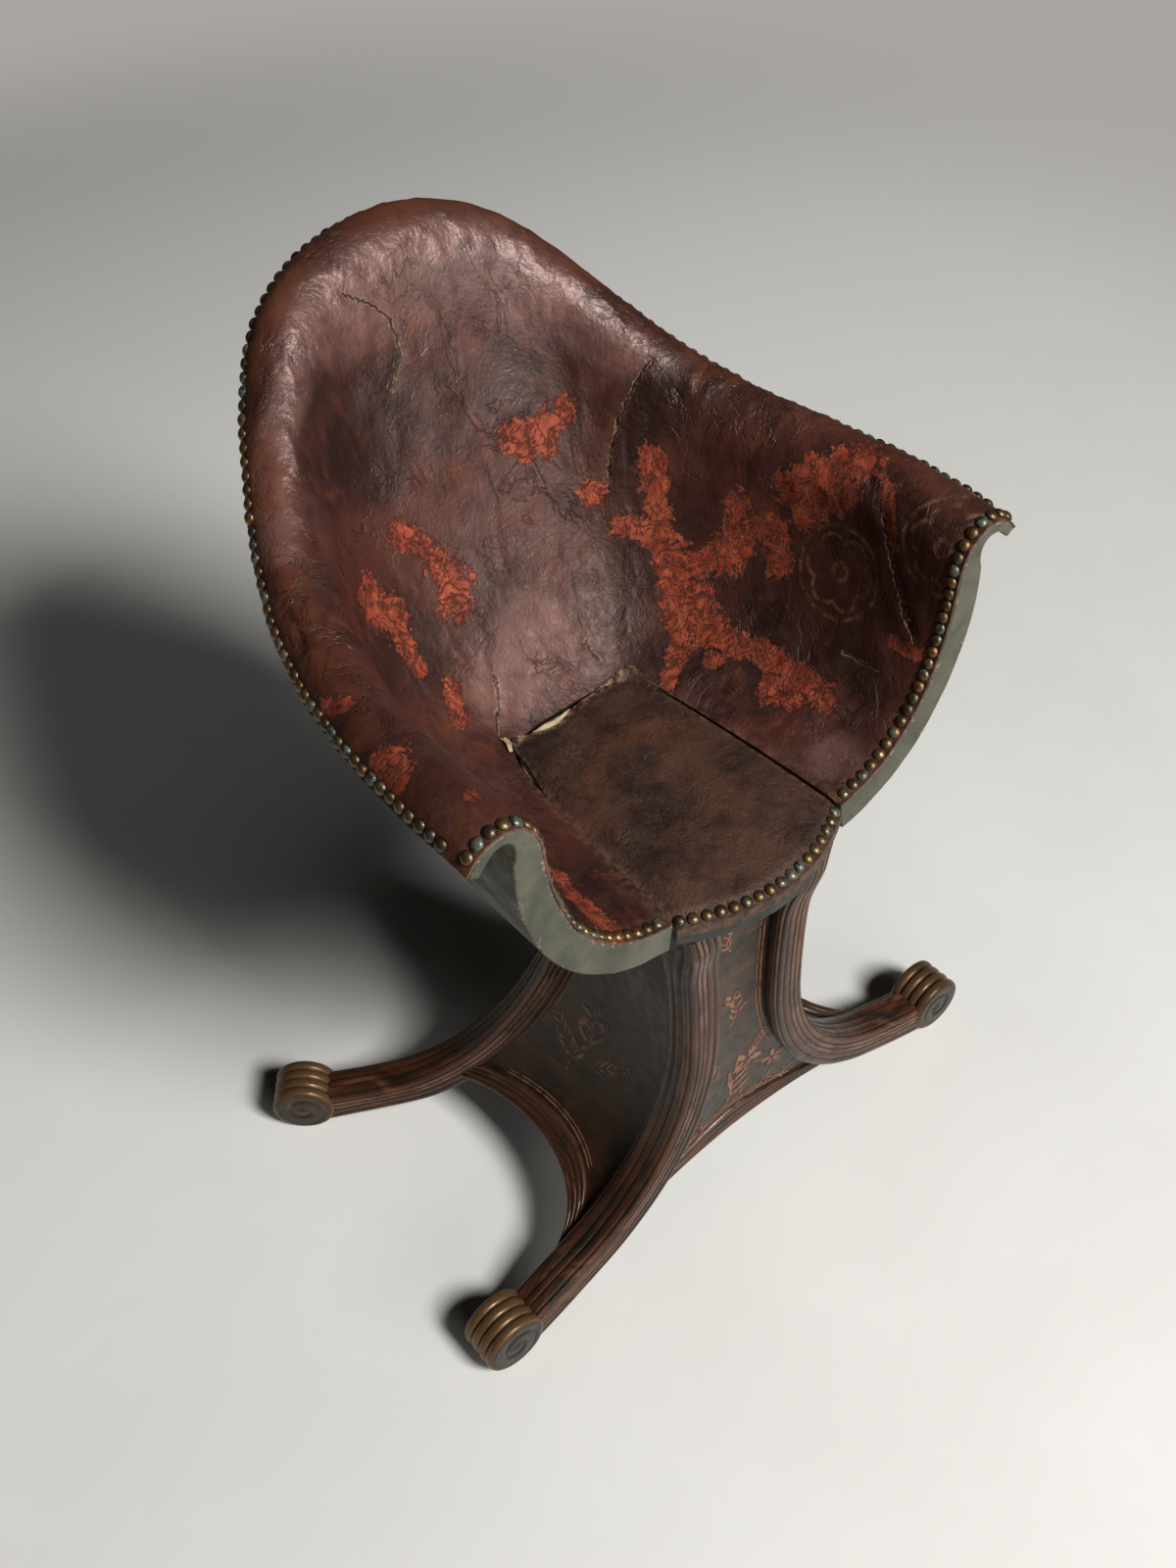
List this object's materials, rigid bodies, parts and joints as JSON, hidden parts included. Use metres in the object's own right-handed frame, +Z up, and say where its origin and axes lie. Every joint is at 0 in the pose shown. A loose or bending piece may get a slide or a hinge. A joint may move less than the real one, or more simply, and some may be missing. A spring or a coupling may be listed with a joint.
{
  "type": "gondola chair",
  "caption": "Low scoop-backed gondola chair: a nailed leather bucket shell and lift-out seat on a splayed lacquered pedestal with scroll feet.",
  "frame": {"origin": "on the floor, under the middle of the chair's box", "axes": "+Z up, the sitter faces -Y, +X to the sitter's left"},
  "size_m": [0.6094, 0.478, 0.814],
  "materials": {
    "lacquer": "black-brown lacquer, worn to red-brown on the reeds, with copper painted ornament",
    "shell_paint": "old sage-green paint, chipped at the edges",
    "shell_hide": "aged burgundy leather with brick-red scuffs, semi-gloss",
    "seat_hide": "worn mottled brown leather, dull",
    "stuffing": "canvas and tow",
    "seat_paint": "dark green-black paint",
    "nail_brass": "aged brass with verdigris",
    "bare_wood": "old unpainted softwood",
    "screw_iron": "dark iron"
  },
  "bodies": {
    "chair": {"leg_front_left": "lacquer", "leg_front_right": "lacquer", "leg_back_left": "lacquer", "leg_back_right": "lacquer", "panel_front": "lacquer", "panel_back": "lacquer", "panel_left": "lacquer", "panel_right": "lacquer", "shell_cheek_left": "shell_paint", "shell_cheek_right": "shell_paint", "shell_wing_left": "shell_paint", "shell_wing_right": "shell_paint", "shell_back": "shell_paint", "shell_leather": "shell_hide", "shell_padding": "stuffing", "rim_nails": "nail_brass", "left_edge_nails": "nail_brass", "right_edge_nails": "nail_brass", "top_board": "bare_wood", "leg_dowels": "bare_wood", "corner_blocks": "bare_wood", "shell_screws": "screw_iron"},
    "seat": {"seat_board": "seat_paint", "seat_padding": "stuffing", "seat_leather": "seat_hide", "seat_front_nails": "nail_brass"}
  },
  "joints": [
    {"name": "seat_lift", "type": "slide", "parent": "chair", "child": "seat", "axis": [0, 0, 1], "range_m": [0, 0.4]}
  ]
}
